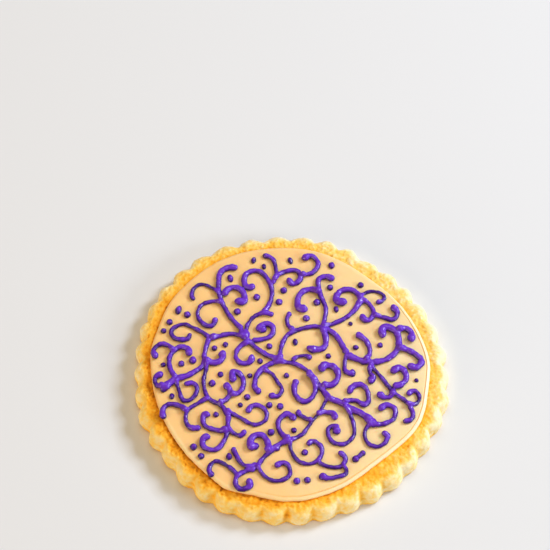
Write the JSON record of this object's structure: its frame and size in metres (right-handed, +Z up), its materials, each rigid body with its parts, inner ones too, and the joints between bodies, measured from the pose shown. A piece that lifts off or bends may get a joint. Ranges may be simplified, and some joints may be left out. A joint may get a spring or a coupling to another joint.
{
  "type": "iced sugar cookie",
  "caption": "Round sugar cookie with a fluted baked edge, flood icing over its top and scrolls and dots piped in relief on the icing.",
  "frame": {"origin": "middle of the biscuit's flat underside, on the surface that it lies on", "axes": "+Z up through the icing, +X to the right of the piped pattern, +Y to its back"},
  "size_m": [0.0962, 0.0959, 0.0101],
  "materials": {
    "biscuit": "matte",
    "icing": "satin",
    "piping": "satin"
  },
  "bodies": {
    "root": {"biscuit": "biscuit", "icing": "icing"}
  },
  "joints": []
}
